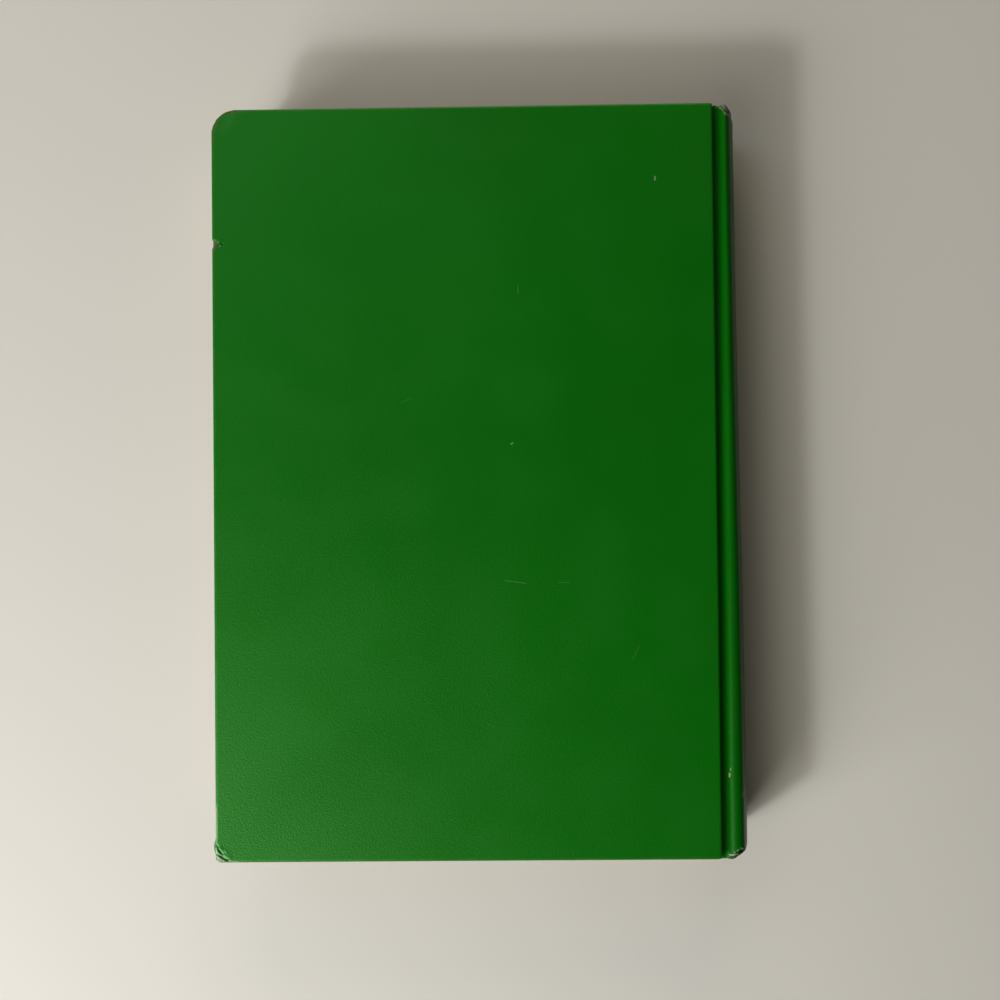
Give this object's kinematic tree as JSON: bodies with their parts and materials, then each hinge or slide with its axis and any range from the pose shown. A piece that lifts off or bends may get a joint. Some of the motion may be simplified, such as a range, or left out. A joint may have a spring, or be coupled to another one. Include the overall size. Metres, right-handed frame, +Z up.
{
  "type": "hardback book",
  "caption": "Cloth-bound hardback book lying flat: hinged board covers with joint grooves, a rounded hollow spine and a backed text block.",
  "frame": {"origin": "middle of the face that the closed book lies on, under the centre of its outline", "axes": "+X from the fore edge to the spine, +Y from the tail to the head, +Z up, from the front cover to the back cover"},
  "size_m": [0.1662, 0.235, 0.027],
  "materials": {
    "cover_cloth": "fine-grained, slightly glossy",
    "board": "matt",
    "pages": "matt",
    "endpaper": "matt",
    "lining": "matt",
    "band": "woven"
  },
  "bodies": {
    "book_block": {"text_block": "pages", "back_flyleaf": "endpaper", "front_flyleaf": "endpaper", "spine_lining": "lining", "headband": "band", "tailband": "band", "spine_strip": "board", "spine_cloth": "cover_cloth"},
    "back_cover": {"back_cover_cloth": "cover_cloth", "back_board": "board", "back_pastedown": "endpaper"},
    "front_cover": {"front_cover_cloth": "cover_cloth", "front_board": "board", "front_pastedown": "endpaper"}
  },
  "joints": [
    {"name": "back_cover_hinge", "type": "hinge", "parent": "book_block", "child": "back_cover", "pos_m": [0.07465, 0, 0.027], "axis": [0, 1, 0], "range_deg": [0, 180]},
    {"name": "front_cover_hinge", "type": "hinge", "parent": "book_block", "child": "front_cover", "pos_m": [0.07465, 0, 0], "axis": [0, -1, 0], "range_deg": [0, 180]}
  ]
}
